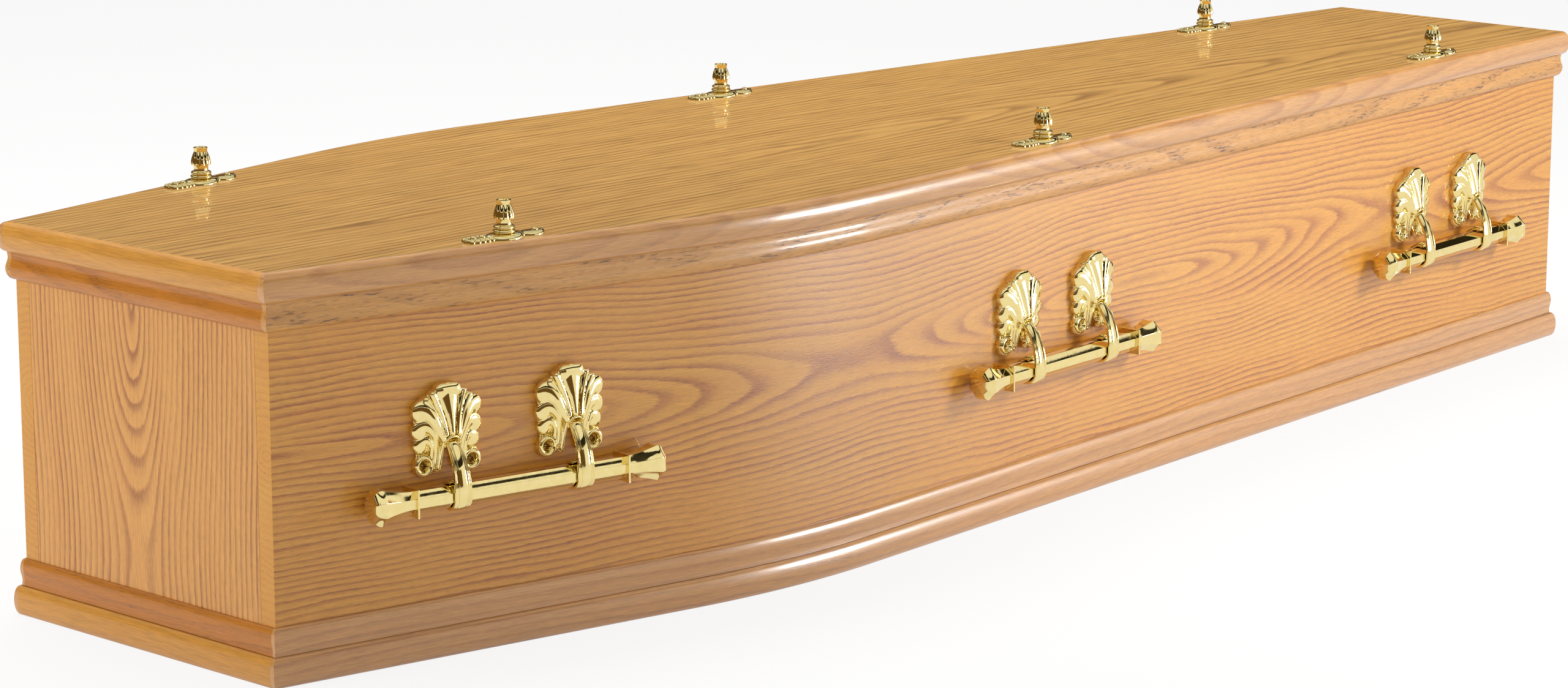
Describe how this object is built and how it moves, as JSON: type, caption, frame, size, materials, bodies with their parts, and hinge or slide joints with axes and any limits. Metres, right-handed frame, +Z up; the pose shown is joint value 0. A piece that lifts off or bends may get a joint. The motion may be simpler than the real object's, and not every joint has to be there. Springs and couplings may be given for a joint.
{
  "type": "coffin",
  "caption": "Long shouldered wooden coffin, tapered to the foot, with half-round and lipped mouldings, a lift-off lid held by bud screws, and brass bar handles on leaf plates.",
  "frame": {"origin": "middle of the length and width, on the underside of the base board", "axes": "+X from the head end towards the foot end, +Y towards the coffin's right side, +Z up"},
  "size_m": [1.993, 0.568, 0.3935],
  "materials": {
    "flat_boards": "glossy lacquered oak veneer, tan olive",
    "wall_boards": "satin gloss lacquered oak veneer, warm tan",
    "mouldings": "gloss lacquered hardwood moulding",
    "handle_metal": "polished brass plating, high gloss",
    "screw_metal": "polished brass plating, high gloss"
  },
  "bodies": {
    "root": {"lid_board": "flat_boards", "base_board": "flat_boards", "head_board": "wall_boards", "foot_board": "wall_boards", "side_board_left": "wall_boards", "side_board_right": "wall_boards", "lid_round_left": "mouldings", "lid_round_right": "mouldings", "top_mould_left": "mouldings", "top_mould_right": "mouldings", "base_mould_left": "mouldings", "base_mould_right": "mouldings", "base_round_left": "mouldings", "base_round_right": "mouldings", "lid_round_head": "mouldings", "lid_round_foot": "mouldings", "top_mould_head": "mouldings", "top_mould_foot": "mouldings", "base_mould_head": "mouldings", "base_mould_foot": "mouldings", "base_round_head": "mouldings", "base_round_foot": "mouldings", "leaf_plate_head_left_a": "handle_metal", "leaf_plate_head_left_b": "handle_metal", "leaf_plate_head_right_a": "handle_metal", "leaf_plate_head_right_b": "handle_metal", "leaf_plate_middle_left_a": "handle_metal", "leaf_plate_middle_left_b": "handle_metal", "leaf_plate_middle_right_a": "handle_metal", "leaf_plate_middle_right_b": "handle_metal", "leaf_plate_foot_left_a": "handle_metal", "leaf_plate_foot_left_b": "handle_metal", "leaf_plate_foot_right_a": "handle_metal", "leaf_plate_foot_right_b": "handle_metal", "straps_head_left": "handle_metal", "straps_head_right": "handle_metal", "straps_middle_left": "handle_metal", "straps_middle_right": "handle_metal", "straps_foot_left": "handle_metal", "straps_foot_right": "handle_metal", "bar_head_left": "handle_metal", "bar_head_right": "handle_metal", "bar_middle_left": "handle_metal", "bar_middle_right": "handle_metal", "bar_foot_left": "handle_metal", "bar_foot_right": "handle_metal", "escutcheon_head_left": "screw_metal", "escutcheon_head_right": "screw_metal", "escutcheon_middle_left": "screw_metal", "escutcheon_middle_right": "screw_metal", "escutcheon_foot_left": "screw_metal", "escutcheon_foot_right": "screw_metal", "lid_screw_head_left": "screw_metal", "lid_screw_head_right": "screw_metal", "lid_screw_middle_left": "screw_metal", "lid_screw_middle_right": "screw_metal", "lid_screw_foot_left": "screw_metal", "lid_screw_foot_right": "screw_metal"}
  },
  "joints": []
}
